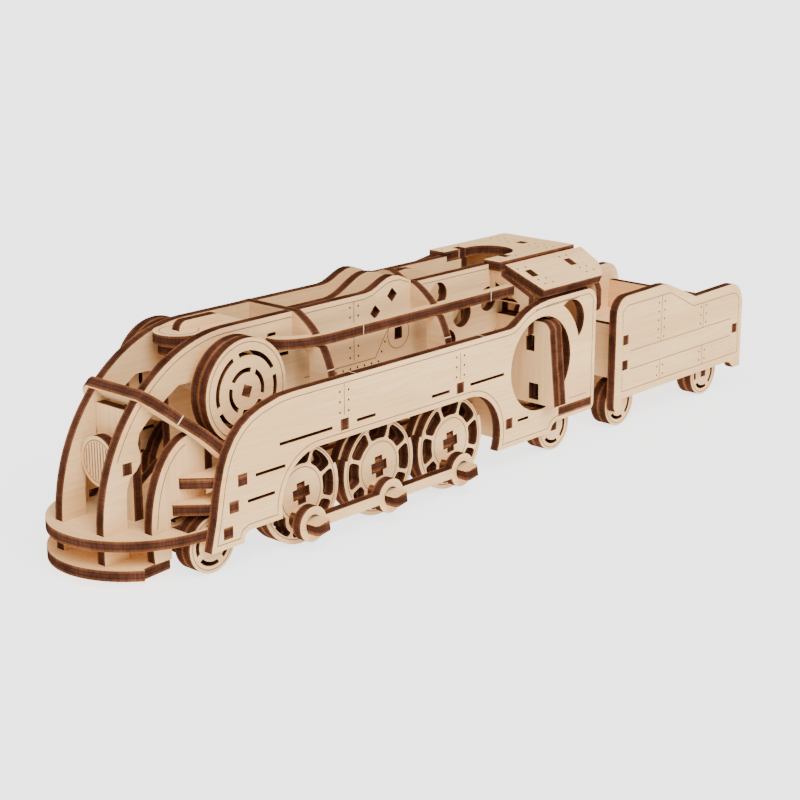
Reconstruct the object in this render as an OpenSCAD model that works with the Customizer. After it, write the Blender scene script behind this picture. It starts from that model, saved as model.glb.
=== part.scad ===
// Streamlined steam locomotive with tender, a push-together plywood model.
// Lengths in mm. Plates are drawn flat and stood up: side plates lie along X, cross
// plates across Y. Distances along the train (x) are measured from the front end of
// the wheel arch row, heights (z) from the floor, and side distances (y) from the
// centre plane. The finished part is moved so that its origin is at its base centre.

/* [Plywood] */
// Thickness of every sheet
ply = 3; // [2.8:0.1:3.1]
// Play left in slots and mortises
play = 0.1; // [0.05:0.05:0.15]

/* [Locomotive] */
// Half of the width over the side panels
half_w = 28.25; // [27.5:0.25:29]
// Height of the side panel's straight top edge
panel_top = 44.7; // [44:0.1:46]
// Height of the boiler plates
boiler_top = 60.3; // [60:0.1:60.6]
// Inner faces of the boiler plates, from the centre plane
boiler_in = 7; // [6.5:0.25:7.5]
// Height of the cab roof
roof_top_z = 61.5; // [61.3:0.1:62]

/* [Running gear] */
// Radius of the driving wheels
drive_r = 14.3; // [14:0.1:14.4]
// Distance between the driving axles
drive_pitch = 30.9; // [30.5:0.1:31]
// Radius of the small wheels
small_r = 7.8; // [7.5:0.1:8]
// Crank radius of the coupling rods
crank_r = 7.1; // [6.8:0.1:7.3]

/* [Winding discs] */
// Radius of the winding discs
disc_r = 14.3; // [13.8:0.1:14.5]

/* [Hidden] */
$fn = 96;
LIGHT = "#dcc096";
DARK = "#b98a58";
RUBBER = "#8a6a4a";
slip = 0.02;
tab_w = 3.2;
hole_w = tab_w + play;

// Extreme ends of the train, which place the origin
nose_x = -59.4;
tail_x = 218.2;
x_mid = (nose_x + tail_x) / 2;

// Side distances
panel_in = half_w - ply;
boiler_out = boiler_in + ply;
rib_in = 15.3;
frame_in = 12;
wheel_in = panel_in - 0.3 - 2 * ply;
pony_in = 17.4;
disc_in = 12.5;
rod_in = half_w + 0.3;
pin_end = 35.9;

// Heights
lower_bumper_z = 2.3;
upper_bumper_z = 10.3;
step_z = [16.9, 23.5];
rail_z = 51.8;
roof_z = roof_top_z - ply;
floor_z = 12;
boiler_low = 20.5;
lap_z = 54;

// Nose: the boiler plates and the ribs follow upright ellipses from the deck line
deck_line = 13.3;
bumper_c = [-31, 0];
bumper_a = bumper_c[0] - nose_x;
boiler_c = [-10, deck_line];
boiler_a = 44.2;
rib_c = [-31, deck_line];
rib_a = 14.3;
rib_b = 24;
neck_x = -46.4;
lamp_x = -47.2;
lamp_z = 29.6;
lamp_r = 6.85;
hoop_top = [-41.1, 48.2];
hoop_lap = 2.8;
hoop_lean = 45.5;

// Axles
axle_1 = 1.5;
axle_2 = axle_1 + drive_pitch;
axle_3 = axle_2 + drive_pitch;
pony_x = -29.5;
trailing_x = 113.6;
tender_x1 = 149.2;
tender_x2 = 199.8;
small_side = 3;
small_bore = small_side * sqrt(2) / 2 + 0.08;
plus_span = 6.3;
plus_bore = sqrt(plus_span * plus_span + ply * ply) / 2 + 0.08;
crank_lean = 17;
crank = crank_r * [-sin(crank_lean), -cos(crank_lean)];
pin_w = 4.4;
pin_lean = 10;
pin_r = sqrt(pin_w * pin_w + ply * ply) / 2;
disc_c = [-11.6, 44.6];
disc_turn = -22;

// Hoops, cab and tender places
hoop_x1 = 13.7;
hoop_x2 = 62.3;
hoop_r = 24.4;
hoop_cz = 38.2;
dome_x = 54.5;
dome_half = 11.5;
dome_h = 3.4;
beam_x = 85.4;
cab_x = 99;
seat_x = 102.2;
bow_x = 125.7;
rear_wall_x = 130.9;
cab_hole = [102.2, 31.1];
cab_hole_r = 14.8;
roof_pitch = 24.4;
eave_z = 54;
roof_half = 14.35;
draw_x = 138.5;
draw_r = 2;
draw_z = floor_z + ply + 0.2;
tender_floor_z = draw_z + ply;
tender_wall_x1 = 145.5;
tender_wall_x2 = 212;

// ---- Helpers ----

// Points of an arc or an oval, angles in degrees
function oval(c, a, b, from, to, n = 12) = [for (i = [0:n])
    let (t = from + (to - from) * i / n) [c[0] + a * cos(t), c[1] + b * sin(t)]];
function arc(c, r, from, to, n = 8) = oval(c, r, r, from, to, n);

// Moves the train so that its origin is at its base centre
module at_datum() translate([-x_mid, 0, 0]) children();

// Sheets standing along the train, across it, and lying flat
module plate_y(y, t = ply) translate([0, y + t, 0]) rotate([90, 0, 0]) linear_extrude(t) children();
module plate_x(x, t = ply) translate([x, 0, 0]) rotate([90, 0, 90]) linear_extrude(t) children();
module plate_z(z, t = ply) translate([0, 0, z]) linear_extrude(t) children();

module left() mirror([0, 1, 0]) children();
module both_sides() { children(); left() children(); }
module halves() { children(); mirror([1, 0]) children(); }
// The same for outlines of lying sheets, whose second axis runs across
module sides_2d() { children(); mirror([0, 1]) children(); }

module hole(p, w = hole_w, h = hole_w) translate(p) square([w, h], center = true);
module box_2d(x0, x1, y0, y1) translate([x0, y0]) square([x1 - x0, y1 - y0]);

// Curved slots in a ring, left between bridges
module arc_slots(r, w, bridge, count, turn) difference() {
    circle(r + w / 2);
    circle(r - w / 2);
    for (k = [0:count - 1]) rotate(turn + 360 / count * k) translate([0, -bridge / 2])
        square([r + w, bridge]);
}

// ---- Side panels ----

louvres = [[-9.4, 10.5, 31.4], [20, 27.6, 31.4], [51.2, 59.1, 31.4], [68.3, 84.1, 31.4],
    [-18.2, -7.4, 25.1], [-21.2, -11.4, 18.65], [91, 96.3, 15.2]];
arch_r = 14.2;
arch_x1 = 5.3;
arch_x2 = 68.5;
arch_z = 13.3;
panel_low = 7.6;
panel_tabs = [[-28.2, upper_bumper_z + ply / 2], [-26, step_z[0] + ply / 2],
    [-22.8, step_z[1] + ply / 2], [hoop_x1 + ply / 2, 31.4], [hoop_x2 + ply / 2, 31.4],
    [beam_x + ply / 2, 15.2]];
floor_tab = [111.5, 128.8];

function panel_outline() = concat(
    [[-34.1, panel_low], [-32, 16.2], [-30.5, 24.3], [-29.1, 29.6], [-27.6, 33], [-25.3, 36.6],
        [-22.5, 39.4], [-19.3, 41.4], [-15.5, 42.9], [-9, panel_top - 0.3], [-4, panel_top],
        [87, panel_top], [89, 45.1], [91.6, 46.5], [94.2, 48.1], [97.6, 49.4], [101.5, 50.2],
        [106, 50.6], [111, 50.7]],
    arc([125.4, 46.1], 4.6, 90, 0),
    arc([128, 12.7], 2, 0, -90, 4),
    arc([111, 7.2], 3.5, 90, 173, 4),
    arc([arch_x2, arch_z], arch_r, -23.6, 90, 16),
    arc([arch_x1, arch_z], arch_r, 90, 191, 16),
    [[-20.6, 10.6], [-22, 10], [-22.6, 8.8], [-22.6, panel_low]]);

module side_panel_2d() difference() {
    polygon(panel_outline());
    for (p = panel_tabs) hole(p);
    box_2d(floor_tab[0], floor_tab[1], floor_z - play / 2, floor_z + ply + play / 2);
    translate(cab_hole) circle(cab_hole_r);
    difference() {
        translate([116.8, 41.8]) circle(7);
        translate(cab_hole) circle(19.5);
    }
    for (s = louvres) box_2d(s[0], s[1], s[2] - 0.45, s[2] + 0.45);
}
module side_panel_right() color(LIGHT) at_datum() plate_y(panel_in) side_panel_2d();
module side_panel_left() color(LIGHT) at_datum() left() plate_y(panel_in) side_panel_2d();

// ---- Boiler plates ----

function boiler_edge(x) = boiler_top + dome_h * (1 + cos(180 * (x - dome_x) / dome_half)) / 2;
tube_holes = [[74.7, 54.5, 3.9], [85.7, 46.9, 4.3], [79, 39, 4], [98.1, 49.4, 3.9]];

function boiler_outline() = concat(
    [[neck_x, lower_bumper_z + ply], [-54.2, lower_bumper_z + ply]],
    oval(boiler_c, boiler_a, boiler_top - deck_line, 180, 90, 24),
    [for (i = [0:10]) let (x = dome_x + dome_half * (i / 5 - 1)) [x, boiler_edge(x)]],
    [[cab_x - 0.8, boiler_top], [cab_x - 0.8, roof_z], [seat_x + ply, roof_z]],
    arc([seat_x + ply - 7, 45], 7, 0, -90, 6),
    [[92.5, 38], [92.5, boiler_low], [-17, boiler_low]],
    arc([-24.5, 40.4], 7.5, 0, 90, 6),
    [[-27.8, 47.9], [-32.7, 44.8], [-38.5, 40.5], [-41.3, 38], [-42, 35.2], [-41.2, 32.4],
        [-41.3, 30.2], [-42.6, 28.4], [-44.9, 26.8], [-46, 24], [neck_x, 20]]);

module boiler_plate_2d() difference() {
    union() {
        polygon(boiler_outline());
        box_2d(-53, -48, lower_bumper_z, 6);
    }
    // Openings
    for (t = tube_holes) translate([t[0], t[1]]) circle(t[2]);
    translate(disc_c) circle(small_bore);
    hole([5.7, 54.1]);
    for (p = [[54.2, 58.1], [47, 54.1]]) translate(p) rotate(45) square(ply + 0.1, center = true);
    hole([56.9, 46.2], 3.3, 3.6);
    for (x = [[8, 12], [18.2, 20.2]]) box_2d(x[0], x[1], 48.5, 49.5);
    hole([lamp_x + ply / 2, lamp_z - 0.2], ply + play, tab_w + play);
    // Slots for the hoops, the cross beam and the leaning nose hoop
    for (x = [hoop_x1, hoop_x2]) box_2d(x - play / 2, x + ply + play / 2, lap_z, 70);
    box_2d(beam_x - play / 2, beam_x + ply + play / 2, 0, 22.5);
    translate(hoop_top) rotate(-hoop_lean)
        translate([-5, -(ply + play) / 2]) square([5 + hoop_lap + play / 2, ply + play]);
}
module boiler_plate_right() color(LIGHT) at_datum() plate_y(boiler_in) boiler_plate_2d();
module boiler_plate_left() color(LIGHT) at_datum() left() plate_y(boiler_in) boiler_plate_2d();

// ---- Nose ----

module nose_rib_2d() polygon(concat(
    [[-39, lower_bumper_z + ply], [-44.6, lower_bumper_z + ply]],
    oval(rib_c, rib_a, rib_b, 180, 90, 14),
    [[-26.9, 36.4], [-26.9, 16.2], [-39, 16.2]]));
module nose_ribs() color(LIGHT) at_datum() both_sides() plate_y(rib_in) nose_rib_2d();

module bumper_upper_2d() difference() {
    union() {
        intersection() {
            polygon(oval(bumper_c, bumper_a, panel_in, 90, 270, 40));
            box_2d(nose_x - 1, bumper_c[0], -30, 30);
        }
        box_2d(bumper_c[0], -20, -panel_in, panel_in);
        box_2d(panel_tabs[0][0] - tab_w / 2, panel_tabs[0][0] + tab_w / 2, -half_w, half_w);
    }
    sides_2d() {
        box_2d(-54.3, neck_x + play / 2, boiler_in - play / 2, boiler_out + play / 2);
        box_2d(-45.4, -38.95, rib_in - play / 2, rib_in + ply + play / 2);
        box_2d(-35, 0, frame_in - play / 2, frame_in + ply + play / 2);
        box_2d(-38, -21, pony_in - 0.3, pony_in + 2 * ply + 0.4);
    }
}
module bumper_upper() color(LIGHT) at_datum() plate_z(upper_bumper_z) bumper_upper_2d();

module bumper_lower() color(LIGHT) at_datum() plate_z(lower_bumper_z) difference() {
    intersection() {
        polygon(oval(bumper_c, bumper_a, panel_in, 90, 270, 40));
        polygon([[nose_x - 1, -30], [-53, -30], [-48.7, -18.45], [-39, -17.45], [-39, 17.45],
            [-48.7, 18.45], [-53, 30], [nose_x - 1, 30]]);
    }
    sides_2d() box_2d(-53 - play / 2, -48 + play / 2, boiler_in - play / 2, boiler_out + play / 2);
}

// The leaning hoop is drawn with its first axis down the slope and its second across
module nose_hoop_2d() difference() {
    sides_2d() polygon([[0, 0], [0, 10], [2.2, 13.6], [5.6, 16.6], [9, 18.65], [11.8, 21.3],
        [14.4, 23.25], [17.6, 24.3], [20.9, 24.7], [21.6, panel_in], [24, panel_in], [24, 20.7],
        [19, 20.6], [16.4, 19.9], [13.3, 18.35], [10.6, 15.2], [7.6, 12.6], [5.2, 9.6], [5.2, 0]]);
    sides_2d() box_2d(hoop_lap, 12, boiler_in - play / 2, boiler_out + play / 2);
}
module nose_hoop() color(LIGHT) at_datum() translate([hoop_top[0], 0, hoop_top[1]])
    rotate([0, hoop_lean, 0]) translate([0, 0, -ply / 2]) linear_extrude(ply) nose_hoop_2d();

// Round lamp face with upright slits, held by two tabs
module headlight_grille() color(LIGHT) at_datum() plate_x(lamp_x) difference() {
    union() {
        translate([0, lamp_z]) circle(lamp_r);
        hole([0, lamp_z - 0.2], 2 * boiler_out, tab_w);
    }
}
// Cross plate behind the lamp, between the boiler plates
lamp_plate_x = -41.6;
module headlight_plate() color(LIGHT) at_datum() plate_x(lamp_plate_x)
    box_2d(-boiler_in + play / 2, boiler_in - play / 2, upper_bumper_z + ply, 43.1);

// Rounded hatch in two layers between the boiler plates
hatch_w = boiler_in - slip;
hatch_z = 53.3;
hatch_end = 1;
fin_end = -4.5;
fin_tabs = [-14, -7.5];
module hatch_2d(inset) difference() {
    union() {
        translate([-18.4, 0]) circle(hatch_w - inset);
        box_2d(-18.4, hatch_end, -hatch_w, hatch_w);
    }
    for (x = fin_tabs) hole([x, 0], 4.1, ply + play);
}
module nose_hatch() color(LIGHT) at_datum() {
    plate_z(hatch_z) hatch_2d(1.2);
    plate_z(hatch_z + ply) hatch_2d(0);
}
module crest_fin() color(LIGHT) at_datum() plate_y(-ply / 2) union() {
    polygon(concat([[-19.5, hatch_z + 2 * ply]], arc([-16.9, 59.3], 2.6, 170, 90, 5),
        arc([fin_end - 1.8, 60.1], 1.8, 90, 0, 4), [[fin_end, hatch_z + 2 * ply]]));
    for (x = fin_tabs) box_2d(x - 2, x + 2, hatch_z + ply, hatch_z + 2 * ply + 1);
}

// Pilot steps between the ribs and the side panels
module step_2d(front, back, tab) {
    polygon([[front, rib_in + ply], [front, rib_in + ply + 0.6], [front + 6.6, panel_in],
        [back, panel_in], [back, rib_in + ply]]);
    box_2d(tab - tab_w / 2, tab + tab_w / 2, panel_in - 1, half_w);
}
module pilot_steps() color(LIGHT) at_datum() both_sides() {
    plate_z(step_z[0]) step_2d(-38.3, -23, panel_tabs[1][0]);
    plate_z(step_z[1]) step_2d(-35.8, -20, panel_tabs[2][0]);
}

// ---- Boiler hoops, rails and dome ----

module hoop_2d(crown) difference() {
    union() {
        intersection() {
            translate([0, hoop_cz]) circle(hoop_r);
            box_2d(-panel_in, panel_in, 29.7, boiler_top);
        }
        box_2d(-panel_in, panel_in, 29.7, 40);
        box_2d(-half_w, half_w, panel_tabs[3][1] - tab_w / 2, panel_tabs[3][1] + tab_w / 2);
        if (crown > 0) polygon(concat([[8, boiler_top - 1], [-8, boiler_top - 1]],
            [for (i = [-8:8]) [i, boiler_top + crown * (1 + cos(22.5 * i)) / 2]]));
    }
    polygon(concat([[16.5, 20], [16.5, 47.5]], oval([0, 47.5], 16.5, 6, 0, 180, 24),
        [[-16.5, 20]]));
    halves() box_2d(boiler_in - play / 2, boiler_out + play / 2, 20, lap_z);
    halves() box_2d(rail_out - ply, 30, rail_z - play / 2, rail_z + ply + play / 2);
}
module hoop_front() color(LIGHT) at_datum() plate_x(hoop_x1) hoop_2d(0);
module hoop_rear() color(LIGHT) at_datum() plate_x(hoop_x2) hoop_2d(2.4);

rail_out = 19.6;
module rail_2d() difference() {
    polygon(concat([[3.6, boiler_out]], oval([20, 11.6], 16.4, rail_out - 11.6, 180, 90, 10),
        [[cab_x, rail_out], [cab_x, rail_out - ply]],
        oval([20, boiler_out], 13, rail_out - ply - boiler_out, 90, 180, 10)));
    for (x = [hoop_x1, hoop_x2])
        box_2d(x - play / 2, x + ply + play / 2, 0, rail_out - ply + play / 2);
}
module handrails() color(LIGHT) at_datum() both_sides() plate_z(rail_z) rail_2d();

module dome_ridge() polygon(concat(
    [[hoop_x1 + ply, 54.5], [hoop_x1 + ply, 58.3], [37, 58.3]],
    [for (i = [1:8]) [37 + 2 * i, 58.3 + 5.5 * (1 - cos(22.5 * i)) / 2]],
    [[57, 63.2], [60, 61.6], [hoop_x2, 61], [hoop_x2, 54.5]]));
module dome_tail() polygon([[hoop_x2 + ply, 54.5], [hoop_x2 + ply, 61], [66.6, 61.9],
    [69.3, 62.1], [72.4, 61.8], [75.1, 60.9], [77.9, 59.8], [80.5, 58], [80.5, 54.5]]);

module dome_plate() color(LIGHT) at_datum() plate_y(-ply / 2) {
    dome_ridge();
    dome_tail();
}

// ---- Cab ----

function slope_top(y) = eave_z + (half_w - y) * tan(roof_pitch);
function slope_under(y) = slope_top(y) - ply / cos(roof_pitch) - slip;

roof_tabs = [9.25, 20.3];
bow_tab = 19.6;
module roof_top() color(LIGHT) at_datum() plate_z(roof_z) difference() {
    box_2d(98.3, 136.1, -roof_half, roof_half);
    box_2d(90, 110, -8, 8);
    translate([110, 0]) circle(8);
    sides_2d() hole([seat_x + 1.5 * ply, roof_tabs[0]]);
    hole([bow_x + ply / 2, 0]);
}
module roof_sides() color(LIGHT) at_datum() both_sides() difference() {
    translate([0, half_w, eave_z]) rotate([-roof_pitch, 0, 0]) translate([0, 0, -ply])
        linear_extrude(ply) polygon([[103, 0], [132.8, 0], [136, -3.2], [138.4, -6.6],
            [139.8, -16], [101, -16]]);
    translate([90, 0, 40]) cube([60, roof_half + 0.1, 30]);
    for (t = [[seat_x + 1.5 * ply, roof_tabs[1]], [bow_x + ply / 2, bow_tab]])
        translate([t[0] - hole_w / 2, t[1] - hole_w / 2, 40]) cube([hole_w, hole_w, 30]);
}

// A tab that rises through the sloping roof at side distance y
module slope_tab(y) polygon([[y - tab_w / 2, slope_under(y) - 3],
    [y - tab_w / 2, slope_top(y - tab_w / 2)], [y + tab_w / 2, slope_top(y + tab_w / 2)],
    [y + tab_w / 2, slope_under(y) - 3]]);

module roof_bow() color(LIGHT) at_datum() plate_x(bow_x) {
    halves() polygon([[0, 52], [0, roof_z - slip], [roof_half, roof_z - slip],
        [roof_half, slope_under(roof_half)], [panel_in, slope_under(panel_in)],
        [panel_in, 46], [22, 46], [13, 52]]);
    halves() slope_tab(bow_tab);
    box_2d(-tab_w / 2, tab_w / 2, 54, roof_top_z);
}

module cab_front_wall() color(LIGHT) at_datum() plate_x(cab_x) halves() difference() {
    polygon([[boiler_out, 40], [boiler_out, roof_z - slip], [roof_half, roof_z - slip],
        [roof_half, slope_under(roof_half)], [panel_in, slope_under(panel_in)],
        [panel_in, 40]]);
    polygon([[12.2, 49.6], [12.2, 55], [21.5, 49.6]]);
    box_2d(0, 22, 30, 49.3);
}

module cab_rear_wall() color(LIGHT) at_datum() plate_x(rear_wall_x) difference() {
    union() {
        halves() polygon([[0, floor_z + ply], [20, floor_z + ply], [20, 38.5], [21.2, 40.6],
            [23.4, 41.5], [25.6, 41.6], [26.9, 42.5], [27.35, 44], [27.35, 49], [26.7, 50.7],
            [25.6, slope_under(25.6)], [roof_half, slope_under(roof_half)],
            [roof_half, roof_z - slip], [0, roof_z - slip]]);
        halves() box_2d(12, 16, floor_z, 16);
    }
    box_2d(-6, 6, 10, 36);
    translate([0, 36]) circle(6);
}

// The two bulkheads side by side, whose wings pass through the round openings
wing_low = 17.9;
wing_top = 44.2;
module wing_2d() difference() {
    polygon(concat([[0, wing_low], [33.6, wing_low], [31.3, 40]],
        arc([28.2, wing_top - 3.1], 3.1, 0, 90, 6), [[boiler_out, wing_top], [boiler_out, 36], [0, 36]]));
    box_2d(22.2, 25.5, 34.4, 39.5);
    box_2d(23.6, 27.4, 19.1, 24.3);
}
module bulkhead_front() color(LIGHT) at_datum() plate_x(seat_x) halves() wing_2d();
module bulkhead_rear() color(LIGHT) at_datum() plate_x(seat_x + ply) {
    halves() wing_2d();
    halves() polygon([[7, 35], [7, roof_z - slip], [roof_half, roof_z - slip],
        [roof_half, slope_under(roof_half)], [panel_in - 0.3, slope_under(panel_in - 0.3)],
        [panel_in - 0.3, 43], [20, 43], [14, 52], [boiler_out, 52], [boiler_out, 35]]);
    halves() box_2d(roof_tabs[0] - tab_w / 2, roof_tabs[0] + tab_w / 2, 55, roof_top_z);
    halves() slope_tab(roof_tabs[1]);
}

module cab_floor() color(LIGHT) at_datum() plate_z(floor_z) difference() {
    union() {
        box_2d(104, 130, -panel_in, panel_in);
        box_2d(104, rear_wall_x + ply, -20, 20);
        box_2d(floor_tab[0] + play / 2, floor_tab[1] - play / 2, -half_w, half_w);
        box_2d(120, draw_x, -5, 5);
        translate([draw_x, 0]) circle(5);
    }
    sides_2d() box_2d(106, 121.2, 18.6, panel_in + 0.01);
    sides_2d() hole([rear_wall_x + ply / 2, 14], ply + play, 4 + play);
    translate([draw_x, 0]) circle(draw_r + 0.08);
}

// ---- Frames that carry the axles ----

module axle_frame_2d() difference() {
    polygon([[-34.5, 5], [-33.5, 4], [-25.5, 4], [-21, 8.3], [104, 8.3], [108, 4], [118.5, 4],
        [119.5, 5], [119.5, floor_z], [99, floor_z], [95, 17], [92, 19.5], [-16, 19.5],
        [-24, 13.9], [-34.5, 13.9]]);
    for (x = [pony_x, trailing_x]) translate([x, small_r]) circle(small_bore);
    for (x = [axle_1, axle_2, axle_3]) translate([x, drive_r]) circle(plus_bore);
    box_2d(beam_x - play / 2, beam_x + ply + play / 2, 15, 25);
}
module axle_frames() color(LIGHT) at_datum() both_sides() plate_y(frame_in) axle_frame_2d();

module cross_beam() color(LIGHT) at_datum() plate_x(beam_x) difference() {
    union() {
        box_2d(-panel_in, panel_in, 10, 24.5);
        box_2d(-half_w, half_w, 15.2 - tab_w / 2, 15.2 + tab_w / 2);
    }
    halves() box_2d(frame_in - play / 2, frame_in + ply + play / 2, 9, 15);
    halves() box_2d(boiler_in - play / 2, boiler_out + play / 2, 22.5, 30);
}

// ---- Winding axle, discs and band ----

module winding_disc_2d() difference() {
    circle(disc_r);
    arc_slots(10.3, 1.3, 2.2, 4, 20);
    arc_slots(5.7, 1.3, 1.8, 4, 65);
    rotate(disc_turn) square(small_side + play, center = true);
}
module at_disc() translate(disc_c) children();
module winding_axle() color(DARK) at_datum() plate_y(-disc_in - 2 * ply, 2 * disc_in + 4 * ply)
    at_disc() rotate(disc_turn) square(small_side, center = true);
module winding_discs() color(LIGHT) at_datum() both_sides() plate_y(disc_in + ply) at_disc()
    winding_disc_2d();
module winding_backs() color(LIGHT) at_datum() both_sides() plate_y(disc_in) at_disc()
    winding_disc_2d();
module rubber_band() color(RUBBER) at_datum() plate_y(-4, 8) at_disc() difference() {
    circle(3.7);
    rotate(disc_turn) square(small_side, center = true);
}

// ---- Driving wheels ----

module plus_2d(more) rotate(5) {
    square([plus_span + more, ply + more], center = true);
    square([ply + more, plus_span + more], center = true);
}
// Wheel window between two spokes, with rounded corners. The spokes are 45 degrees apart
win_r1 = 8.3;
win_r2 = 12.5;
win_corner = 1.1;
half_spoke = 0.5;
function window(t, u) = concat(
    arc((win_r2 - win_corner) * [cos(t), sin(t)], win_corner, -90, t, 4),
    arc([0, 0], win_r2, t + 5, 40 - t, 4),
    arc((win_r2 - win_corner) * [cos(45 - t), sin(45 - t)], win_corner, 45 - t, 135, 4),
    arc((win_r1 + win_corner) * [cos(45 - u), sin(45 - u)], win_corner, 135, 225 - u, 4),
    arc([0, 0], win_r1, 40 - u, u + 5, 3),
    arc((win_r1 + win_corner) * [cos(u), sin(u)], win_corner, 180 + u, 270, 4));
module drive_wheel_2d(stepped) difference() {
    union() {
        difference() {
            circle(drive_r);
            for (k = [0:7]) rotate(24.5 + 45 * k) polygon(window(
                asin((half_spoke + win_corner) / (win_r2 - win_corner)),
                asin((half_spoke + win_corner) / (win_r1 + win_corner))));
        }
        translate(crank) circle(4);
    }
    plus_2d(play);
    translate(crank) rotate(pin_lean) square([pin_w + play, ply + play], center = true);
    // The outer layer is cut back along its upper rim
    if (stepped) difference() {
        polygon(concat([[0, 0]], arc([0, 0], 20, 23, 161, 12)));
        circle(drive_r - 0.8);
    }
}
module at_drive(x) translate([x, drive_r]) children();
module drive_axle(x) color(DARK) at_datum() plate_y(-panel_in + 1.2, 2 * panel_in - 2.4)
    at_drive(x) plus_2d(0);
module drive_wheels(x) color(LIGHT) at_datum() both_sides() plate_y(wheel_in + ply)
    at_drive(x) drive_wheel_2d(true);
module wheel_backs(x) color(LIGHT) at_datum() both_sides() plate_y(wheel_in)
    at_drive(x) drive_wheel_2d(false);

// Flat pin with a head, and the round collar that keeps the rod off the wheel
module crank_pin() {
    translate([0, 0, -ply / 2]) linear_extrude(ply) polygon([[-pin_w / 2, wheel_in],
        [-pin_w / 2, rod_in + ply + 0.3], [-2.7, rod_in + ply + 0.3], [-2.7, pin_end - 0.8],
        [-1.9, pin_end], [1.9, pin_end], [2.7, pin_end - 0.8], [2.7, rod_in + ply + 0.3],
        [pin_w / 2, rod_in + ply + 0.3], [pin_w / 2, wheel_in]]);
    translate([0, wheel_in + 2 * ply, 0]) rotate([-90, 0, 0])
        cylinder(r = 2.85, h = rod_in - slip - wheel_in - 2 * ply);
}
module crank_pins(x) color(DARK) at_datum() both_sides()
    translate([x + crank[0], 0, drive_r + crank[1]]) rotate([0, -pin_lean, 0]) crank_pin();

module drive_axle_1() drive_axle(axle_1);
module drive_axle_2() drive_axle(axle_2);
module drive_axle_3() drive_axle(axle_3);
module drive_wheels_1() drive_wheels(axle_1);
module drive_wheels_2() drive_wheels(axle_2);
module drive_wheels_3() drive_wheels(axle_3);
module wheel_backs_1() wheel_backs(axle_1);
module wheel_backs_2() wheel_backs(axle_2);
module wheel_backs_3() wheel_backs(axle_3);
module crank_pins_1() crank_pins(axle_1);
module crank_pins_2() crank_pins(axle_2);
module crank_pins_3() crank_pins(axle_3);

rod_eye = 5;
rod_bar = 3;
module rod_2d() translate([crank[0], drive_r + crank[1]]) difference() {
    union() {
        for (x = [axle_1, axle_2, axle_3]) translate([x, 0]) circle(rod_eye);
        box_2d(axle_1, axle_3, -rod_bar / 2, rod_bar / 2);
    }
    for (x = [axle_1, axle_2, axle_3]) translate([x, 0]) circle(pin_r + 0.09);
}
module coupling_rod_right() color(LIGHT) at_datum() plate_y(rod_in) rod_2d();
module coupling_rod_left() color(LIGHT) at_datum() left() plate_y(rod_in) rod_2d();

// ---- Small wheels ----

module small_axle(x, inner) color(DARK) at_datum() plate_y(-inner - 2 * ply, 2 * inner + 4 * ply)
    translate([x, small_r]) square(small_side, center = true);
module small_wheels(x, inner) color(LIGHT) at_datum() both_sides() plate_y(inner, 2 * ply)
    translate([x, small_r]) difference() {
        circle(small_r);
        arc_slots(5.2, 1.2, 1.8, 4, 30);
        square(small_side + play, center = true);
    }
module pony_axle() small_axle(pony_x, pony_in);
module pony_wheels() small_wheels(pony_x, pony_in);
module trailing_axle() small_axle(trailing_x, wheel_in);
module trailing_wheels() small_wheels(trailing_x, wheel_in);
module tender_axle_front() small_axle(tender_x1, wheel_in);
module tender_wheels_front() small_wheels(tender_x1, wheel_in);
module tender_axle_rear() small_axle(tender_x2, wheel_in);
module tender_wheels_rear() small_wheels(tender_x2, wheel_in);

// ---- Tender ----

module drawbar() color(LIGHT) at_datum() {
    plate_z(draw_z) {
        translate([draw_x, 0]) circle(4.6);
        box_2d(draw_x, 166, -4, 4);
    }
    translate([draw_x, 0, floor_z - 1.2]) cylinder(r = draw_r, h = draw_z + 1 - floor_z + 1.2);
}
module tender_floor() color(LIGHT) at_datum() {
    plate_z(tender_floor_z) box_2d(tender_wall_x1 + ply, tender_wall_x2, -panel_in, panel_in);
    plate_z(tender_floor_z, ply - slip) box_2d(tender_wall_x1, tender_wall_x2 + ply, -6, 6);
}
module tender_frames() color(LIGHT) at_datum() both_sides() plate_y(frame_in) difference() {
    polygon([[143.5, 4], [155, 4], [158, 9], [191, 9], [194, 4], [205.6, 4],
        [205.6, tender_floor_z], [tender_wall_x1 + ply, tender_floor_z], [143.5, 14]]);
    for (x = [tender_x1, tender_x2]) translate([x, small_r]) circle(small_bore);
}

tender_tabs = [30, 21.5];
tender_low = 16.5;
module tender_wall_2d(top, tabs) difference() {
    union() {
        box_2d(-panel_in, panel_in, tender_low, top);
        for (z = tabs) hole([0, z], 2 * half_w, tab_w);
    }
    hole([0, tender_floor_z + ply / 2], 12 + play, ply + play);
    box_2d(-9, 9, 0, draw_z + ply);
    halves() box_2d(frame_in - 0.2, frame_in + ply + 0.2, 0, tender_floor_z);
}
module tender_front_wall() color(LIGHT) at_datum() plate_x(tender_wall_x1)
    tender_wall_2d(34.5, tender_tabs);
module tender_rear_wall() color(LIGHT) at_datum() plate_x(tender_wall_x2)
    tender_wall_2d(31.7, [21.9]);

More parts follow.
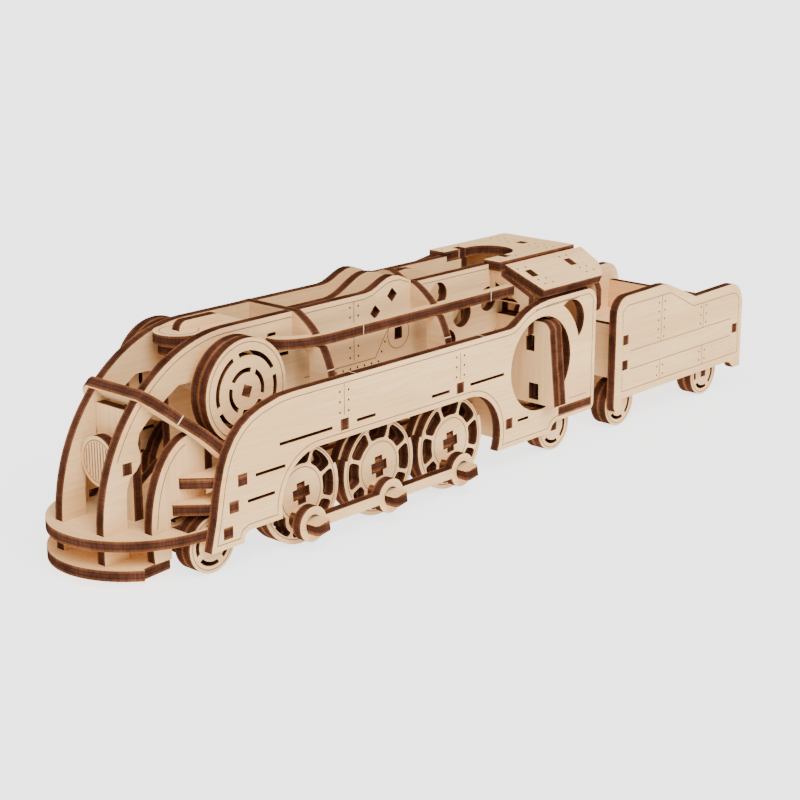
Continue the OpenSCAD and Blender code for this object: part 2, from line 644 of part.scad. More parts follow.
module tender_panel_2d() difference() {
    polygon(concat([[142.5, 6.5], [145.2, 6.5], [146, 8], [146, 10.2], [209.5, 10.2], [211.6, 9.6],
        [214.1, 7.3], [tail_x, 7.3], [tail_x - 0.2, 31.4]],
        arc([210.4, 30.8], 7.4, 8, 88, 6),
        [[200, 38], [187.6, 37.7], [180, 40.9], [172.5, 44], [170, 44.9], [167.4, 45.2],
            [156, 44.9]],
        arc([147.6, 38.8], 6, 96, 180, 6), [[141.6, 8]]));
    for (z = tender_tabs) hole([tender_wall_x1 + ply / 2, z]);
    hole([tender_wall_x2 + ply / 2, 21.9]);
}
module tender_panel_right() color(LIGHT) at_datum() plate_y(panel_in) tender_panel_2d();
module tender_panel_left() color(LIGHT) at_datum() left() plate_y(panel_in) tender_panel_2d();

// ---- Assembly ----

side_panel_left();
side_panel_right();
boiler_plate_left();
boiler_plate_right();
nose_ribs();
bumper_upper();
bumper_lower();
nose_hoop();
headlight_grille();
headlight_plate();
nose_hatch();
crest_fin();
pilot_steps();
hoop_front();
hoop_rear();
handrails();
dome_plate();
roof_top();
roof_sides();
roof_bow();
cab_front_wall();
cab_rear_wall();
bulkhead_front();
bulkhead_rear();
cab_floor();
axle_frames();
cross_beam();
winding_axle();
winding_discs();
winding_backs();
rubber_band();
drive_axle_1();
drive_wheels_1();
wheel_backs_1();
crank_pins_1();
drive_axle_2();
drive_wheels_2();
wheel_backs_2();
crank_pins_2();
drive_axle_3();
drive_wheels_3();
wheel_backs_3();
crank_pins_3();
coupling_rod_left();
coupling_rod_right();
pony_axle();
pony_wheels();
trailing_axle();
trailing_wheels();
drawbar();
tender_floor();
tender_frames();
tender_front_wall();
tender_rear_wall();
tender_panel_left();
tender_panel_right();
tender_axle_front();
tender_wheels_front();
tender_axle_rear();
tender_wheels_rear();
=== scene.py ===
"""Looks of the push-together plywood locomotive: plywood, laser engraving, lights and camera."""
import math

import bmesh
import bpy
from mathutils import Matrix, Vector


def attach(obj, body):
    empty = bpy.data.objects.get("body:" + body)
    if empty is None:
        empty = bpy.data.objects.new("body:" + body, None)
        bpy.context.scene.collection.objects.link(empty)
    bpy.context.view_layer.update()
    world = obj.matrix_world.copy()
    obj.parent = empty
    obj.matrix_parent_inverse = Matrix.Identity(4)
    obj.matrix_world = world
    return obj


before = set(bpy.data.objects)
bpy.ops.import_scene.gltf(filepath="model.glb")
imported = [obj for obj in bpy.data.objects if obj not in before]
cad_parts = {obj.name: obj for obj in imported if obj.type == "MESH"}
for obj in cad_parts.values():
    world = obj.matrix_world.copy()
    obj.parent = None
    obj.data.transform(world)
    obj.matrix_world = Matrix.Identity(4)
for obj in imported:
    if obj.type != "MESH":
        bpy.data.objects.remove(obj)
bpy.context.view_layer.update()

# ---- Driving sizes, in millimetres ----
# x from the front of the wheel arch row, y from the centre plane, z from the floor
MM = 0.001
NOSE_X, TAIL_X = -59.4, 218.2
X_MID = (NOSE_X + TAIL_X) / 2
PLY = 3.0
HALF_W = 28.25
PANEL_IN = HALF_W - PLY
BOILER_IN, RIB_IN, DISC_IN, FRAME_IN = 7.0, 15.3, 12.5, 12.0
BOILER_OUT = BOILER_IN + PLY
WHEEL_IN = PANEL_IN - 0.3 - 2 * PLY
WHEEL_OUT = WHEEL_IN + 2 * PLY
PONY_IN = 17.4
ROD_IN = HALF_W + 0.3
PANEL_TOP, BOILER_TOP, ROOF_TOP = 44.7, 60.3, 61.5
DECK = 13.3
HATCH_TOP = 59.3
HOOP_X1, HOOP_X2, CAB_X, REAR_WALL_X = 13.7, 62.3, 99.0, 130.9
HOOP_R, HOOP_CENTRE_Z = 24.4, 38.2
RAIL_Z, RAIL_OUT = 51.8, 19.6
BEAM_X, SEAT_X, BOW_X = 85.4, 102.2, 125.7
LOWER_BUMPER_Z, UPPER_BUMPER_Z, STEP_Z, CAB_FLOOR_Z = 2.3, 10.3, 16.9, 12.0
DRAW_Z, TENDER_FLOOR_Z = 15.2, 18.2
TENDER_WALL_X1, TENDER_WALL_X2 = 145.5, 212.0
DRIVE_R, SMALL_R, DISC_R = 14.3, 7.8, 14.3
AXLES = (1.5, 32.4, 63.3)
SMALL_AXLES = {"pony": (-29.5, PONY_IN), "trailing": (113.6, WHEEL_IN),
               "tender_front_axle": (149.2, WHEEL_IN), "tender_rear_axle": (199.8, WHEEL_IN)}
DISC = (-11.6, 44.6)
ROOF_PITCH, EAVE_Z = math.radians(24.4), 54.0
HOOP_LEAN = math.radians(45.5)
HOOP_TOP = (-41.1, 48.2)
LAMP_X, LAMP_Z, LAMP_R = -47.2, 29.6, 6.85
LAMP_PLATE_X = -41.6
HATCH_ROUND_X = -18.4
CRANK_PIN_Z = 7.51

LINE_W = 0.26      # width of an engraved line
LINE_H = 0.03      # how far its surface stands over the sheet, so that it is seen
DOT_R = 0.36       # radius of an engraved rivet
RIVET_GAP = 1.7    # from a seam to the rivets beside it

BIRCH_LIGHT = (0.83, 0.53, 0.25, 1)
BIRCH_DARK = (0.72, 0.425, 0.185, 1)


# ---- Materials ----

def math_node(nodes, links, kind, a, b=None):
    """A Math node whose inputs are sockets or numbers; gives its output."""
    node = nodes.new("ShaderNodeMath")
    node.operation = kind
    for socket, value in zip(node.inputs, (a, b)):
        if isinstance(value, bpy.types.NodeSocket):
            links.new(value, socket)
        elif value is not None:
            socket.default_value = value
    return node.outputs[0]


def mix_node(nodes, links, factor, a, b, blend="MIX"):
    node = nodes.new("ShaderNodeMix")
    node.data_type = "RGBA"
    node.blend_type = blend
    for socket, value in zip((node.inputs[0], node.inputs[6], node.inputs[7]), (factor, a, b)):
        if isinstance(value, bpy.types.NodeSocket):
            links.new(value, socket)
        else:
            socket.default_value = value
    return node.outputs[2]


def ramp_node(nodes, links, factor, stops):
    node = nodes.new("ShaderNodeValToRGB")
    links.new(factor, node.inputs[0])
    while len(node.color_ramp.elements) < len(stops):
        node.color_ramp.elements.new(0.5)
    for element, (place, colour) in zip(node.color_ramp.elements, stops):
        element.position = place
        element.color = colour if len(colour) == 4 else (*colour, 1)
    return node.outputs[0]


def noise_node(nodes, links, vector, scale, detail=3.0, seed=0.0):
    """Noise stretched by scale, a vector in features per metre."""
    mapping = nodes.new("ShaderNodeMapping")
    mapping.inputs["Scale"].default_value = scale
    mapping.inputs["Location"].default_value = (seed, seed * 1.7, seed * 2.3)
    links.new(vector, mapping.inputs["Vector"])
    noise = nodes.new("ShaderNodeTexNoise")
    noise.inputs["Scale"].default_value = 1.0
    noise.inputs["Detail"].default_value = detail
    links.new(mapping.outputs[0], noise.inputs["Vector"])
    return noise.outputs["Fac"]


def new_material(name):
    material = bpy.data.materials.new(name)
    material.use_nodes = True
    nodes, links = material.node_tree.nodes, material.node_tree.links
    return material, nodes, links, nodes["Principled BSDF"]


def grain_scale(grain, along, across):
    """Features per metre along and across the grain, which runs along axis x, y or z."""
    return tuple(along if letter == grain else across for letter in "xyz")


def plywood(name, axis, start, grain="x", mirrored=True, facing=None, seed=0.0, tone=1.0):
    """Laser-cut plywood. axis is the sheet's thickness direction, start its inner face along it, in mm,
    and facing the normal of its faces where that isn't the axis. Surfaces that face that way show
    birch; all others show the charred layers of the cut."""
    material, nodes, links, shader = new_material(name)
    coords = nodes.new("ShaderNodeTexCoord")
    place, normal = coords.outputs["Object"], coords.outputs["Normal"]
    if mirrored:
        parts = nodes.new("ShaderNodeSeparateXYZ")
        joined = nodes.new("ShaderNodeCombineXYZ")
        links.new(place, parts.inputs[0])
        for k in (0, 2):
            links.new(parts.outputs[k], joined.inputs[k])
        links.new(math_node(nodes, links, "ABSOLUTE", parts.outputs[1]), joined.inputs[1])
        depth_place = joined.outputs[0]
    else:
        depth_place = place

    def dot(vector, direction):
        node = nodes.new("ShaderNodeVectorMath")
        node.operation = "DOT_PRODUCT"
        links.new(vector, node.inputs[0])
        node.inputs[1].default_value = direction
        return node.outputs["Value"]

    # Depth in the sheet, from 0 to 1 through each layer of plywood
    depth = math_node(nodes, links, "SUBTRACT", dot(depth_place, axis), start * MM)
    layer = math_node(nodes, links, "FRACT", math_node(nodes, links, "DIVIDE", depth, PLY * MM))
    turned = math_node(nodes, links, "ABSOLUTE", dot(normal, facing or axis))
    is_face = math_node(nodes, links, "GREATER_THAN", turned, 0.82)

    # Birch face: broad figure, fine fibres and short dark pores
    figure = noise_node(nodes, links, place, grain_scale(grain, 9, 75), 4.0, seed)
    fibres = noise_node(nodes, links, place, grain_scale(grain, 55, 1500), 3.0, seed + 3)
    pores = noise_node(nodes, links, place, grain_scale(grain, 260, 3800), 2.0, seed + 7)
    light = tuple(c * tone for c in BIRCH_LIGHT[:3])
    dark = tuple(c * tone for c in BIRCH_DARK[:3])
    middle = tuple((a + b) / 2 for a, b in zip(light, dark))
    face = ramp_node(nodes, links, figure, [(0.30, dark), (0.47, middle), (0.62, light)])
    fibre_shade = ramp_node(nodes, links, fibres, [(0.30, (0.90, 0.875, 0.84)), (0.60, (1, 1, 1))])
    face = mix_node(nodes, links, 1.0, face, fibre_shade, "MULTIPLY")
    pore_shade = ramp_node(nodes, links, pores, [(0.64, (1, 1, 1)), (0.72, (0.84, 0.77, 0.68))])
    face = mix_node(nodes, links, 1.0, face, pore_shade, "MULTIPLY")

    # Cut edge: scorched brown layers with dark glue lines, and the laser's fine ribs
    edge = ramp_node(nodes, links, layer, [
        (0.00, (0.21, 0.088, 0.034)), (0.08, (0.108, 0.040, 0.018)), (0.24, (0.084, 0.030, 0.015)),
        (0.30, (0.032, 0.012, 0.007)), (0.38, (0.053, 0.020, 0.0125)), (0.62, (0.056, 0.021, 0.013)),
        (0.70, (0.032, 0.012, 0.007)), (0.76, (0.084, 0.030, 0.015)), (0.92, (0.108, 0.040, 0.018)),
        (1.00, (0.21, 0.088, 0.034))])
    soot = noise_node(nodes, links, place, (150, 150, 150), 4.0, seed + 11)
    soot_shade = ramp_node(nodes, links, soot, [(0.32, (0.62, 0.62, 0.62)), (0.66, (1.38, 1.38, 1.38))])
    edge = mix_node(nodes, links, 1.0, edge, soot_shade, "MULTIPLY")
    ribs = noise_node(nodes, links, place, tuple(300 + 2600 * (1 - abs(a)) for a in axis), 2.0, seed + 17)
    rib_shade = ramp_node(nodes, links, ribs, [(0.35, (0.78, 0.76, 0.74)), (0.62, (1.16, 1.12, 1.08))])
    edge = mix_node(nodes, links, 1.0, edge, rib_shade, "MULTIPLY")

    links.new(mix_node(nodes, links, is_face, edge, face), shader.inputs["Base Color"])
    gloss = ramp_node(nodes, links, fibres, [(0.3, (0.72, 0.72, 0.72)), (0.7, (0.60, 0.60, 0.60))])
    links.new(gloss, shader.inputs["Roughness"])
    links.new(math_node(nodes, links, "MULTIPLY", is_face, 0.22), shader.inputs["Specular IOR Level"])
    bump = nodes.new("ShaderNodeBump")
    bump.inputs["Strength"].default_value = 0.22
    bump.inputs["Distance"].default_value = 0.00006
    links.new(fibres, bump.inputs["Height"])
    links.new(bump.outputs[0], shader.inputs["Normal"])
    return material


def burnt(name, colour, spread=0.35):
    """Scorched wood of engraved lines and dots."""
    material, nodes, links, shader = new_material(name)
    coords = nodes.new("ShaderNodeTexCoord")
    soot = noise_node(nodes, links, coords.outputs["Object"], (420, 420, 420), 3.0)
    low = tuple(c * (1 - spread) for c in colour[:3])
    high = tuple(c * (1 + spread) for c in colour[:3])
    links.new(ramp_node(nodes, links, soot, [(0.32, low), (0.66, high)]), shader.inputs["Base Color"])
    shader.inputs["Roughness"].default_value = 0.8
    shader.inputs["Specular IOR Level"].default_value = 0.15
    return material


def rubber(name):
    material, nodes, links, shader = new_material(name)
    coords = nodes.new("ShaderNodeTexCoord")
    strands = noise_node(nodes, links, coords.outputs["Object"], (200, 1600, 200), 2.0)
    links.new(ramp_node(nodes, links, strands, [(0.35, (0.36, 0.21, 0.10)), (0.65, (0.60, 0.40, 0.22))]),
              shader.inputs["Base Color"])
    shader.inputs["Roughness"].default_value = 0.48
    bump = nodes.new("ShaderNodeBump")
    bump.inputs["Strength"].default_value = 0.5
    bump.inputs["Distance"].default_value = 0.0002
    links.new(strands, bump.inputs["Height"])
    links.new(bump.outputs[0], shader.inputs["Normal"])
    return material


X_AXIS, Y_AXIS, Z_AXIS = (1, 0, 0), (0, 1, 0), (0, 0, 1)


def along_x(x):
    """A place along the train, in the part's frame."""
    return x - X_MID


SLOPE_AXIS = (0, math.sin(ROOF_PITCH), math.cos(ROOF_PITCH))
SLOPE_START = HALF_W * math.sin(ROOF_PITCH) + EAVE_Z * math.cos(ROOF_PITCH) - PLY
HOOP_AXIS = (math.sin(HOOP_LEAN), 0, math.cos(HOOP_LEAN))
HOOP_START = along_x(HOOP_TOP[0]) * HOOP_AXIS[0] + HOOP_TOP[1] * HOOP_AXIS[2] - PLY / 2

# Each sheet: thickness direction, inner face, direction of the grain
SHEETS = {
    "side_panel_left": (Y_AXIS, PANEL_IN, "x"), "side_panel_right": (Y_AXIS, PANEL_IN, "x"),
    "boiler_plate_left": (Y_AXIS, BOILER_IN, "x"), "boiler_plate_right": (Y_AXIS, BOILER_IN, "x"),
    "nose_ribs": (Y_AXIS, RIB_IN, "z"), "nose_hoop": (HOOP_AXIS, HOOP_START, "y"),
    "bumper_upper": (Z_AXIS, UPPER_BUMPER_Z, "y"), "bumper_lower": (Z_AXIS, LOWER_BUMPER_Z, "y"),
    "pilot_steps": (Z_AXIS, STEP_Z, "y"),
    "headlight_grille": (X_AXIS, along_x(LAMP_X), "z"),
    "headlight_plate": (X_AXIS, along_x(LAMP_PLATE_X), "z"),
    "nose_hatch": (Z_AXIS, HATCH_TOP - 2 * PLY, "x"), "crest_fin": (Y_AXIS, -PLY / 2, "x"),
    "hoop_front": (X_AXIS, along_x(HOOP_X1), "y"), "hoop_rear": (X_AXIS, along_x(HOOP_X2), "y"),
    "handrails": (Z_AXIS, RAIL_Z, "x"), "dome_plate": (Y_AXIS, -PLY / 2, "x"),
    "roof_top": (Z_AXIS, ROOF_TOP - PLY, "x"), "roof_sides": (SLOPE_AXIS, SLOPE_START, "x"),
    "roof_bow": (X_AXIS, along_x(BOW_X), "y"),
    "cab_front_wall": (X_AXIS, along_x(CAB_X), "z"), "cab_rear_wall": (X_AXIS, along_x(REAR_WALL_X), "y"),
    "bulkhead_front": (X_AXIS, along_x(SEAT_X), "z"), "bulkhead_rear": (X_AXIS, along_x(SEAT_X) + PLY, "z"),
    "cab_floor": (Z_AXIS, CAB_FLOOR_Z, "x"), "axle_frames": (Y_AXIS, FRAME_IN, "x"),
    "cross_beam": (X_AXIS, along_x(BEAM_X), "y"), "winding_axle": (Z_AXIS, DISC[1] - PLY / 2, "y"),
    "winding_discs": (Y_AXIS, DISC_IN, "x"), "winding_backs": (Y_AXIS, DISC_IN, "x"),
    "coupling_rod_left": (Y_AXIS, ROD_IN, "x"), "coupling_rod_right": (Y_AXIS, ROD_IN, "x"),
    "pony_wheels": (Y_AXIS, PONY_IN, "x"), "trailing_wheels": (Y_AXIS, WHEEL_IN, "x"),
    "tender_wheels_front": (Y_AXIS, WHEEL_IN, "x"), "tender_wheels_rear": (Y_AXIS, WHEEL_IN, "x"),
    "drawbar": (Z_AXIS, DRAW_Z, "x"), "tender_floor": (Z_AXIS, TENDER_FLOOR_Z, "x"),
    "tender_frames": (Y_AXIS, FRAME_IN, "x"), "tender_front_wall": (X_AXIS, along_x(TENDER_WALL_X1), "y"),
    "tender_rear_wall": (X_AXIS, along_x(TENDER_WALL_X2), "y"),
    "tender_panel_left": (Y_AXIS, PANEL_IN, "x"), "tender_panel_right": (Y_AXIS, PANEL_IN, "x"),
}
for number in (1, 2, 3):
    SHEETS[f"drive_wheels_{number}"] = (Y_AXIS, WHEEL_IN, "x")
    SHEETS[f"wheel_backs_{number}"] = (Y_AXIS, WHEEL_IN, "z")
    SHEETS[f"drive_axle_{number}"] = (Z_AXIS, DRIVE_R - PLY / 2, "y")
    SHEETS[f"crank_pins_{number}"] = (Z_AXIS, CRANK_PIN_Z - PLY / 2, "y")
for name, body in (("pony_axle", "pony"), ("trailing_axle", "trailing"),
                   ("tender_axle_front", "tender_front_axle"), ("tender_axle_rear", "tender_rear_axle")):
    SHEETS[name] = (X_AXIS, along_x(SMALL_AXLES[body][0]) - PLY / 2, "y")
UNMIRRORED = {"crest_fin", "dome_plate"}
# Colour factors for some sheets: the wheel backs are darkened by 10 % as painted shade for the shade behind
# the wheels; the rods, hatch and roof sheets differ a little in tone.
SHEET_TONES_AND_PAINTED_SHADE = {"coupling_rod_left": 0.97, "coupling_rod_right": 0.97, "nose_hatch": 1.04, "roof_top": 1.03,
         "roof_sides": 1.04, "wheel_backs_1": 0.9, "wheel_backs_2": 0.9, "wheel_backs_3": 0.9}


def paint_sheets():
    """Gives every CAD node its own plywood, so that grain and tone differ from sheet to sheet; the wheel
    backs are darkened as painted shade.
    """
    for count, (name, (axis, start, grain)) in enumerate(sorted(SHEETS.items())):
        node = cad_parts[name]
        material = plywood("ply_" + name, axis, start, grain, name not in UNMIRRORED,
                           Z_AXIS if name == "roof_sides" else None, 1.37 * count,
                           SHEET_TONES_AND_PAINTED_SHADE.get(name, 1.0 - 0.05 * (count % 3)))
        node.data.materials.clear()
        node.data.materials.append(material)
    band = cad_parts["rubber_band"]
    band.data.materials.clear()
    band.data.materials.append(rubber("rubber"))


paint_sheets()

# ---- Engraving ----

ENGRAVED = burnt("engraved_line", (0.20, 0.098, 0.050))
ENGRAVED_DARK = burnt("engraved_dot", (0.07, 0.030, 0.016))
TICK = burnt("kerf_tick", (0.62, 0.42, 0.26), 0.12)


def arc(centre, radius, start, end, count=12):
    """Points of an arc, angles in degrees."""
    return oval(centre, radius, radius, start, end, count)


def oval(centre, a, b, start, end, count=12):
    points = []
    for k in range(count + 1):
        turn = math.radians(start + (end - start) * k / count)
        points.append((centre[0] + a * math.cos(turn), centre[1] + b * math.sin(turn)))
    return points


def inset(points, gap):
    """A closed outline moved inwards by gap; points run clockwise or anticlockwise."""
    area = sum(a[0] * b[1] - b[0] * a[1] for a, b in zip(points, points[1:] + points[:1]))
    side = 1 if area > 0 else -1
    moved = []
    for k, here in enumerate(points):
        before, after = Vector(points[k - 1]), Vector(points[(k + 1) % len(points)])
        d1, d2 = (Vector(here) - before).normalized(), (after - Vector(here)).normalized()
        n1, n2 = Vector((-d1.y, d1.x)) * side, Vector((-d2.y, d2.x)) * side
        middle = (n1 + n2).normalized()
        moved.append(tuple(Vector(here) + middle * gap / max(0.5, middle.dot(n1))))
    return moved


class Sheet:
    """Collects engraved marks on one flat face and makes them one closed mesh."""

    def __init__(self, name, body, slot, to_space, material=None):
        self.name, self.body, self.slot, self.to_space = name, body, slot, to_space
        self.mesh = bmesh.new()
        self.material = material or ENGRAVED

    def _loft(self, rings, closed):
        rows = [[self.mesh.verts.new(Vector(self.to_space(*p)) * MM) for p in ring] for ring in rings]
        pairs = list(zip(rows, rows[1:])) + ([(rows[-1], rows[0])] if closed else [])
        for a, b in pairs:
            for k in range(len(a)):
                j = (k + 1) % len(a)
                self.mesh.faces.new((a[k], a[j], b[j], b[k]))
        if not closed:
            self.mesh.faces.new(rows[0])
            self.mesh.faces.new(rows[-1])

    def line(self, points, width=LINE_W, closed=False):
        """A line of rectangular section along points."""
        rings = []
        count = len(points)
        for k, here in enumerate(points):
            before = Vector(points[k - 1] if k or closed else here)
            after = Vector(points[(k + 1) % count] if k < count - 1 or closed else here)
            here = Vector(here)
            d1 = (here - before).normalized() if (here - before).length > 1e-9 else None
            d2 = (after - here).normalized() if (after - here).length > 1e-9 else None
            d1, d2 = d1 or d2, d2 or d1
            n1, n2 = Vector((-d1.y, d1.x)), Vector((-d2.y, d2.x))
            middle = (n1 + n2).normalized()
            reach = middle * (width / 2) / max(0.4, middle.dot(n1))
            a, b = here + reach, here - reach
            rings.append([(a.x, a.y, LINE_H), (a.x, a.y, -LINE_H), (b.x, b.y, -LINE_H), (b.x, b.y, LINE_H)])
        self._loft(rings, closed)
        return self

    def ring(self, centre, radius, width=LINE_W, start=0.0, end=360.0):
        """A circle, or the arc of one between two angles."""
        count = max(8, int(abs(end - start) / 360 * (24 + 2.5 * radius)))
        points = arc(centre, radius, start, end, count)
        if abs(end - start) >= 360:
            return self.line(points[:-1], width, True)
        return self.line(points, width)

    def dots(self, places, radius=DOT_R, sides=12):
        for x, y in places:
            around = arc((x, y), radius, 0, 360, sides)[:-1]
            self._loft([[(*p, -LINE_H) for p in around], [(*p, LINE_H) for p in around]], False)
        return self

    def done(self):
        bmesh.ops.recalc_face_normals(self.mesh, faces=self.mesh.faces)
        data = bpy.data.meshes.new(self.name)
        self.mesh.to_mesh(data)
        self.mesh.free()
        data.materials.append(self.material)
        piece = bpy.data.objects.new(self.name, data)
        bpy.context.scene.collection.objects.link(piece)
        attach(piece, self.body)
        return piece


def side_face(side, out):
    """Points on an upright face along the train, |y| = out, on the side -1 (left) or 1."""
    return lambda u, v, h: (along_x(u), side * (out + h), v)


def front_face(x):
    return lambda u, v, h: (along_x(x) - h, u, v)


def top_face(z):
    return lambda u, v, h: (along_x(u), v, z + h)


SIDES = (("left", -1), ("right", 1))


def panel_outline():
    """The side panel's edge, as the CAD part has it."""
    return ([(-34.1, 7.6), (-32, 16.2), (-30.5, 24.3), (-29.1, 29.6), (-27.6, 33), (-25.3, 36.6),
             (-22.5, 39.4), (-19.3, 41.4), (-15.5, 42.9), (-9, PANEL_TOP - 0.3), (-4, PANEL_TOP),
             (87, PANEL_TOP), (89, 45.1), (91.6, 46.5), (94.2, 48.1), (97.6, 49.4), (101.5, 50.2),
             (106, 50.6), (111, 50.7)]
            + arc((125.4, 46.1), 4.6, 90, 0, 8) + arc((128, 12.7), 2, 0, -90, 4)
            + arc((111, 7.2), 3.5, 90, 173, 4) + arc((68.5, 13.3), 14.2, -23.6, 90, 16)
            + arc((5.3, 13.3), 14.2, 90, 191, 16)
            + [(-20.6, 10.6), (-22, 10), (-22.6, 8.8), (-22.6, 7.6)])


def engrave_side_panels():
    seams, seam_low = (15.1, 63.8), 34.0
    for label, side in SIDES:
        face = side_face(side, HALF_W)
        sheet = Sheet(f"side_panel_engraving_{label}", "chassis", "birch_ply", face)
        sheet.line(inset(panel_outline(), 1.6), closed=True)
        sheet.line([(seams[0], 43), (seams[0], seam_low)])
        sheet.line([(seams[1], 41.9), (seams[1], seam_low - 0.1)])
        sheet.line([(98.8, 48.5), (121, 48.9)])
        sheet.line([(117, 16.7), (126, 16.7)])
        sheet.done()
        rivets = Sheet(f"side_panel_rivets_{label}", "chassis", "birch_ply", face, ENGRAVED_DARK)
        for x in seams:
            rivets.dots([(x + dx, z) for dx in (-RIVET_GAP, RIVET_GAP) for z in (40.9, 38.0, 35.0)])
        rivets.done()


def engrave_boiler_plates():
    nose = oval((-10, DECK), 42.5, BOILER_TOP - DECK - 1.5, 156, 92, 18)
    seam_x, seam_low, top_line = 38.1, 41.3, BOILER_TOP - 1.5
    for label, side in SIDES:
        face = side_face(side, BOILER_OUT)
        sheet = Sheet(f"boiler_engraving_{label}", "chassis", "birch_ply", face)
        sheet.line(nose + [(HOOP_X1 - 0.2, top_line)])
        sheet.line([(HOOP_X1 + PLY + 0.2, top_line), (43, top_line), (46, 59.4), (49, 60.6), (52, 61.8),
                    (55, 62.2), (58, 61.9), (61.5, 60.6)])
        sheet.line([(66.2, 59.0), (CAB_X - 1, 58.9)])
        sheet.line([(seam_x, top_line), (seam_x, seam_low)])
        sheet.line([(18, 40.5), (47, 40.5), (51.5, 47), (53, 48.8)])
        sheet.line([(1.5, 54.1), (3.8, 54.1)])
        sheet.ring((56.9, 46.2), 4.6)
        sheet.done()
        rivets = Sheet(f"boiler_rivets_{label}", "chassis", "birch_ply", face, ENGRAVED_DARK)
        rivets.dots([(x, z) for x in (36.5, 39.9) for z in (57.3, 54.4, 45.5, 42.5)])
        rivets.dots([(30.6 + 2.95 * k, 39.2) for k in range(7)] + [(49.7, 41.9), (51.1, 44.6)])
        rivets.done()


def engrave_nose():
    for label, side in SIDES:
        rib = Sheet(f"rib_engraving_{label}", "chassis", "birch_ply", side_face(side, RIB_IN + PLY))
        rib.line([(-43.4, 14.5)] + oval((-31, DECK), 12.3, 22, 172, 100, 12))
        rib.done()
    lamp = Sheet("lamp_engraving", "chassis", "birch_ply", front_face(LAMP_X))
    lamp.ring((0, LAMP_Z), LAMP_R - 1.1, 0.3)
    slit_gap = 1.15
    for k in range(-4, 5):
        reach = math.sqrt((LAMP_R - 1.5) ** 2 - (slit_gap * k) ** 2)
        lamp.line([(slit_gap * k, LAMP_Z - reach), (slit_gap * k, LAMP_Z + reach)], 0.42)
    lamp.done()
    hatch = Sheet("hatch_engraving", "chassis", "birch_ply", top_face(HATCH_TOP))
    hatch.ring((HATCH_ROUND_X, 0), 5.3, start=20, end=340)
    hatch.done()


def engrave_wheels():
    for label, side in SIDES:
        for number, x in enumerate(AXLES, 1):
            wheel = Sheet(f"wheel_engraving_{number}_{label}", f"drive_{number}", "birch_ply",
                          side_face(side, WHEEL_OUT))
            wheel.ring((x, DRIVE_R), 7.3).ring((x, DRIVE_R), 13.0)
            wheel.done()
        for body, (x, inner) in SMALL_AXLES.items():
            wheel = Sheet(f"{body}_engraving_{label}", body, "birch_ply", side_face(side, inner + 2 * PLY))
            wheel.ring((x, SMALL_R), 6.9)
            wheel.done()
        disc = Sheet(f"winding_disc_engraving_{label}", "winding", "birch_ply",
                     side_face(side, DISC_IN + 2 * PLY))
        disc.ring(DISC, DISC_R - 1.1)
        disc.done()


def engrave_roof():
    def slope(side):
        def to_space(u, v, h):
            z = EAVE_Z + (HALF_W - v) * math.tan(ROOF_PITCH) + h * math.cos(ROOF_PITCH)
            return along_x(u), side * (v + h * math.sin(ROOF_PITCH)), z
        return to_space

    rows = [(17.3, 103.6, 107.3), (23.6, 105.9, 109.6), (25.8, 106.5, 110.3),
            (16.5, 125.5, 129.1), (22.9, 127.9, 131.5), (25.2, 128.5, 132.3)]
    for label, side in SIDES:
        rivets = Sheet(f"roof_rivets_{label}", "chassis", "birch_ply", slope(side), ENGRAVED_DARK)
        rivets.dots([(x, v) for v, *places in rows for x in places])
        rivets.done()
    top = Sheet("roof_top_rivets", "chassis", "birch_ply", top_face(ROOF_TOP), ENGRAVED_DARK)
    top.dots([(x, side * v) for side in (-1, 1) for x in (125.4, 128.6) for v in (4.5, 8.0, 11.5)])
    top.dots([(x, side * v) for side in (-1, 1) for x in (101.5, 109.5) for v in (11.8,)])
    top.done()


def engrave_tender():
    border_low, border_high, border_rear = 12.7, 41.6, 34.6
    bands = (25.8, 19.6)
    edge = [(145.2, 33.3), (144.9, 39.7), (147.4, 41.5), (172.2, border_high), (186.7, border_rear),
            (211, 34.8), (214, 34.2), (215.5, 32.4), (216.0, border_low), (145.7, border_low), (145.7, 18.6)]
    seams = ((167.4, border_high, (39.3, 36.3, 33.3, 30.3, 27.3, 17.3, 14.3)),
             (193, border_rear, (33.4, 30.5, 27.5, 17.5, 14.5)))
    for label, side in SIDES:
        face = side_face(side, HALF_W)
        sheet = Sheet(f"tender_engraving_{label}", "tender", "birch_ply", face)
        sheet.line(edge)
        for z in bands:
            sheet.line([(150, z), (211, z)])
        for x, top, _ in seams:
            sheet.line([(x, top), (x, bands[0])])
            sheet.line([(x, bands[1]), (x, border_low)])
        sheet.done()
        rivets = Sheet(f"tender_rivets_{label}", "tender", "birch_ply", face, ENGRAVED_DARK)
        for x, _, heights in seams:
            rivets.dots([(x + dx, z) for dx in (-RIVET_GAP, RIVET_GAP) for z in heights])
        rivets.done()


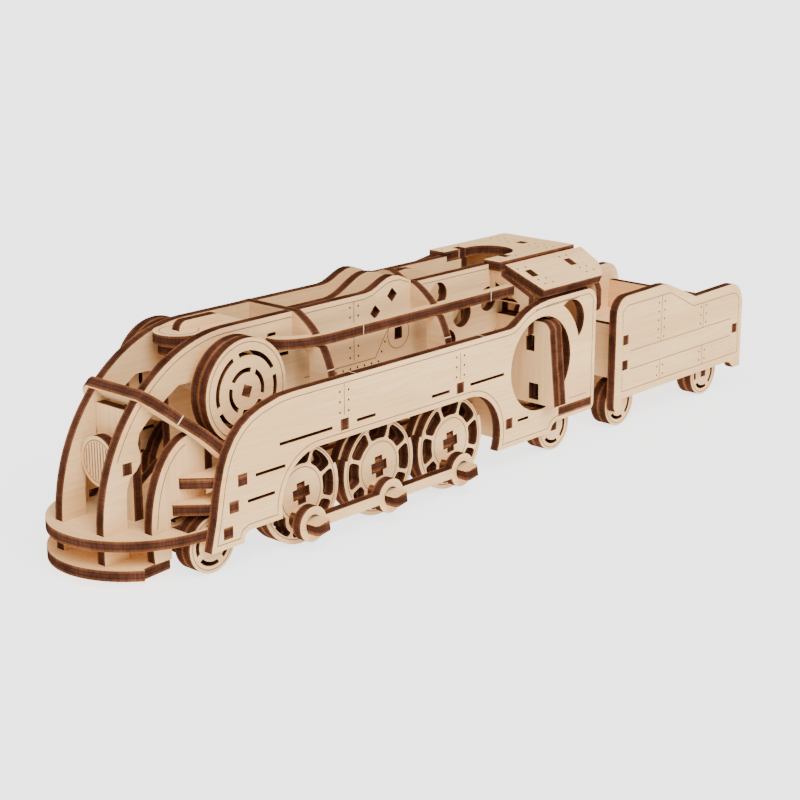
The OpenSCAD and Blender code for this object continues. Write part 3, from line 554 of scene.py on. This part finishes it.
def kerf_ticks():
    """Pale bridges across burnt edges, where a part was held in its sheet."""
    tick_w = 0.3
    down = Vector((math.cos(HOOP_LEAN), 0, -math.sin(HOOP_LEAN)))
    hoop_out = -0.604 * down + 0.797 * Vector(Y_AXIS)
    hoop_place = Vector((HOOP_TOP[0], 18.65, HOOP_TOP[1])) + 9.0 * down
    marks = [(hoop_place, HOOP_AXIS, hoop_out)]
    for x in (-14.0, -5.0):
        marks.append(((x, BOILER_IN - 0.02, HATCH_TOP - PLY / 2), Z_AXIS, Y_AXIS))
    for x in (32.0, 88.0):
        marks.append(((x, RAIL_OUT, RAIL_Z + PLY / 2), Z_AXIS, Y_AXIS))
    turn = math.radians(18)
    out = (0, math.cos(turn), math.sin(turn))
    for x in (HOOP_X1, HOOP_X2):
        marks.append(((x + PLY / 2, HOOP_R * out[1], HOOP_CENTRE_Z + HOOP_R * out[2]), X_AXIS, out))
    for x in (20.0, 75.0):
        marks.append(((x, HALF_W - PLY / 2, PANEL_TOP), Y_AXIS, Z_AXIS))
    for label, side in SIDES:
        mesh = bmesh.new()
        for place, across, out in marks:
            middle, across, out = (Vector((v[0], side * v[1], v[2])) for v in (place, across, out))
            along = across.cross(out).normalized()
            middle.x = along_x(middle.x)
            columns = (along * tick_w * MM, across * (PLY - 0.1) * MM, out * 2 * LINE_H * MM)
            shape = Matrix.Translation(middle * MM) @ Matrix(columns).transposed().to_4x4()
            bmesh.ops.create_cube(mesh, size=1, matrix=shape)
        bmesh.ops.recalc_face_normals(mesh, faces=mesh.faces)
        data = bpy.data.meshes.new(f"kerf_ticks_{label}")
        mesh.to_mesh(data)
        mesh.free()
        data.materials.append(TICK)
        piece = bpy.data.objects.new(data.name, data)
        bpy.context.scene.collection.objects.link(piece)
        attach(piece, "chassis")


engrave_side_panels()
engrave_boiler_plates()
engrave_nose()
engrave_wheels()
engrave_roof()
engrave_tender()
kerf_ticks()


# ---- Floor, light and camera ----

FLOOR_HALF = 30.0     # metres
FLOOR_DROP = 0.0002   # metres, so that the wheels' lowest lines stay clear of it
FLOOR_GREY = 0.42
FLOOR_GLOW = 2.4


def make_floor():
    mesh = bmesh.new()
    signs = ((-1, -1), (1, -1), (1, 1), (-1, 1))
    mesh.faces.new([mesh.verts.new((FLOOR_HALF * a, FLOOR_HALF * b, -FLOOR_DROP)) for a, b in signs])
    data = bpy.data.meshes.new("floor")
    mesh.to_mesh(data)
    mesh.free()
    material, nodes, links, shader = new_material("floor")
    shader.inputs["Base Color"].default_value = (FLOOR_GREY, FLOOR_GREY, FLOOR_GREY, 1)
    shader.inputs["Roughness"].default_value = 0.95
    shader.inputs["Specular IOR Level"].default_value = 0.0
    shader.inputs["Emission Color"].default_value = (1, 1, 1, 1)
    shader.inputs["Emission Strength"].default_value = FLOOR_GLOW
    data.materials.append(material)
    floor = bpy.data.objects.new("floor", data)
    bpy.context.scene.collection.objects.link(floor)


def make_sun(name, azimuth, elevation, strength, softness):
    """A soft distant light that shines from that direction; azimuth 0 is from -Y, 90 from +X."""
    lamp = bpy.data.lights.new(name, "SUN")
    lamp.energy = strength
    lamp.angle = math.radians(softness)
    thing = bpy.data.objects.new(name, lamp)
    a, e = math.radians(azimuth), math.radians(elevation)
    towards = Vector((math.sin(a) * math.cos(e), -math.cos(a) * math.cos(e), math.sin(e)))
    thing.rotation_mode = "QUATERNION"
    thing.rotation_quaternion = towards.to_track_quat("Z", "Y")
    bpy.context.scene.collection.objects.link(thing)


def make_world():
    world = bpy.data.worlds.new("studio")
    world.use_nodes = True
    background = world.node_tree.nodes["Background"]
    background.inputs["Color"].default_value = (1, 1, 1, 1)
    background.inputs["Strength"].default_value = 0.6
    bpy.context.scene.world = world


CAMERA_PLACE = (-313.58 - X_MID, -319.20 - HALF_W, 172.33)
CAMERA_DOWN, CAMERA_TURN, CAMERA_LENS = 16.32, -47.73, 79.12


def make_camera():
    data = bpy.data.cameras.new("camera")
    data.lens = CAMERA_LENS
    data.sensor_width = 36.0
    data.clip_start, data.clip_end = 0.01, 100.0
    camera = bpy.data.objects.new("camera", data)
    camera.location = Vector(CAMERA_PLACE) * MM
    camera.rotation_euler = (math.radians(90 - CAMERA_DOWN), 0, math.radians(CAMERA_TURN))
    bpy.context.scene.collection.objects.link(camera)
    bpy.context.scene.camera = camera


make_floor()
make_sun("key", -22, 48, 5.2, 45)
make_sun("front", -100, 30, 0.9, 70)
make_world()
make_camera()
